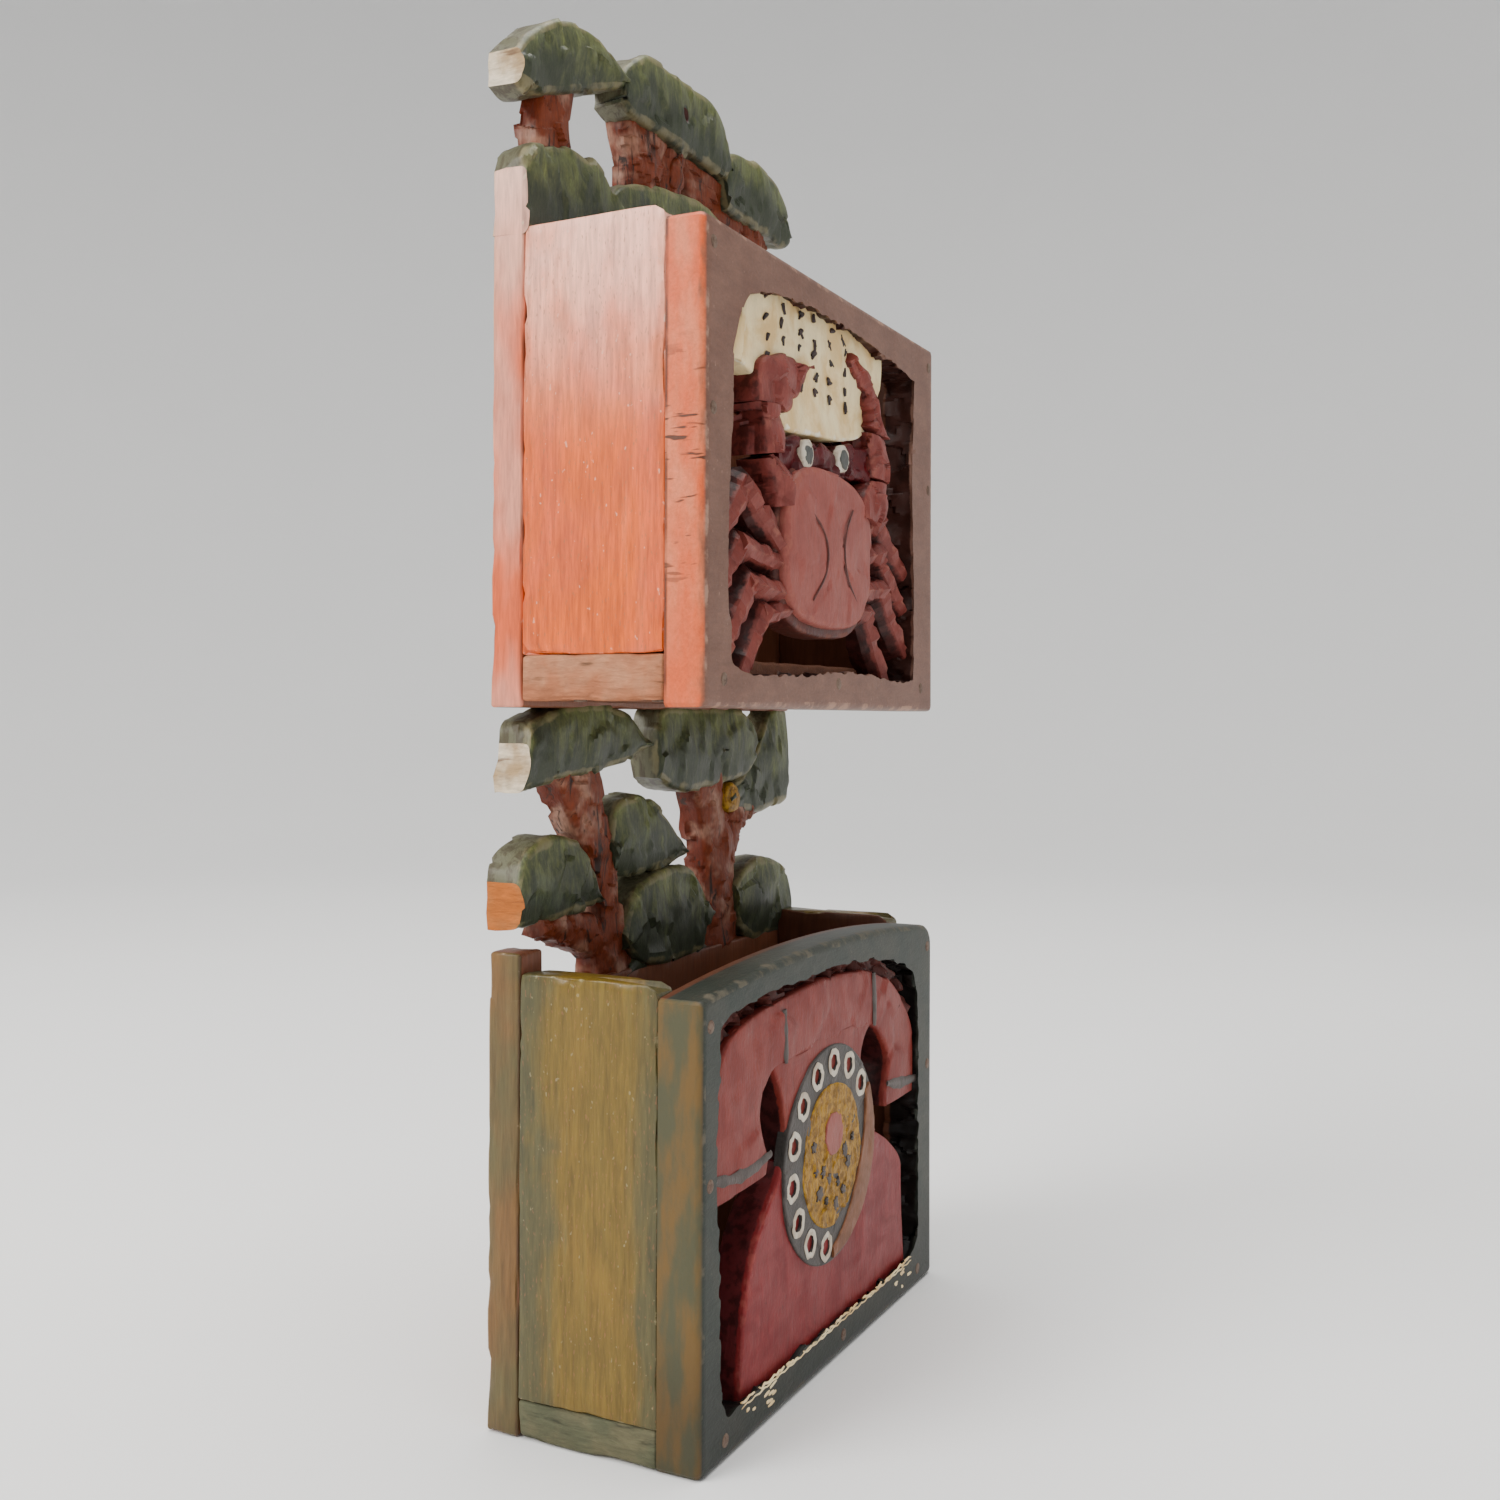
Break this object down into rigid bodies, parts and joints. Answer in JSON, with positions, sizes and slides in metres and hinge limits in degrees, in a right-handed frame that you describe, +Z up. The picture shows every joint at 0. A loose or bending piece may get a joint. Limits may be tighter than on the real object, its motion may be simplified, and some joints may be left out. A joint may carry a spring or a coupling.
{
  "type": "wall letter rack",
  "caption": "Hand-carved wooden wall letter rack with two stacked pockets, front panels pierced with a dial telephone and a crab, and cut-out pine trees.",
  "frame": {"origin": "on the base, midway across the rack's width and depth", "axes": "+Y towards the wall, +Z up, +X to the right of someone facing the rack"},
  "size_m": [0.2, 0.077, 0.465],
  "materials": {
    "pine_green_paint": "satin",
    "trunk_brown_paint": "satin",
    "slate_green_paint": "satin",
    "mauve_brown_paint": "satin",
    "brick_red_paint": "satin",
    "cream_paint": "matte",
    "ochre_paint": "matte",
    "grey_green_stain": "satin",
    "bare_end_grain": "matte",
    "olive_stain": "satin",
    "orange_varnish": "satin",
    "iron_nail": "matte"
  },
  "bodies": {
    "root": {"back_board": "pine_green_paint", "lower_back_nails": "iron_nail", "lower_bottom": "grey_green_stain", "lower_bottom_nails": "iron_nail", "lower_front_nails": "iron_nail", "lower_front_panel": "slate_green_paint", "lower_left_side": "olive_stain", "lower_right_side": "olive_stain", "upper_back_nails": "iron_nail", "upper_bottom": "bare_end_grain", "upper_bottom_nails": "iron_nail", "upper_front_nails": "iron_nail", "upper_front_panel": "mauve_brown_paint", "upper_left_side": "orange_varnish", "upper_right_side": "orange_varnish"}
  },
  "joints": []
}
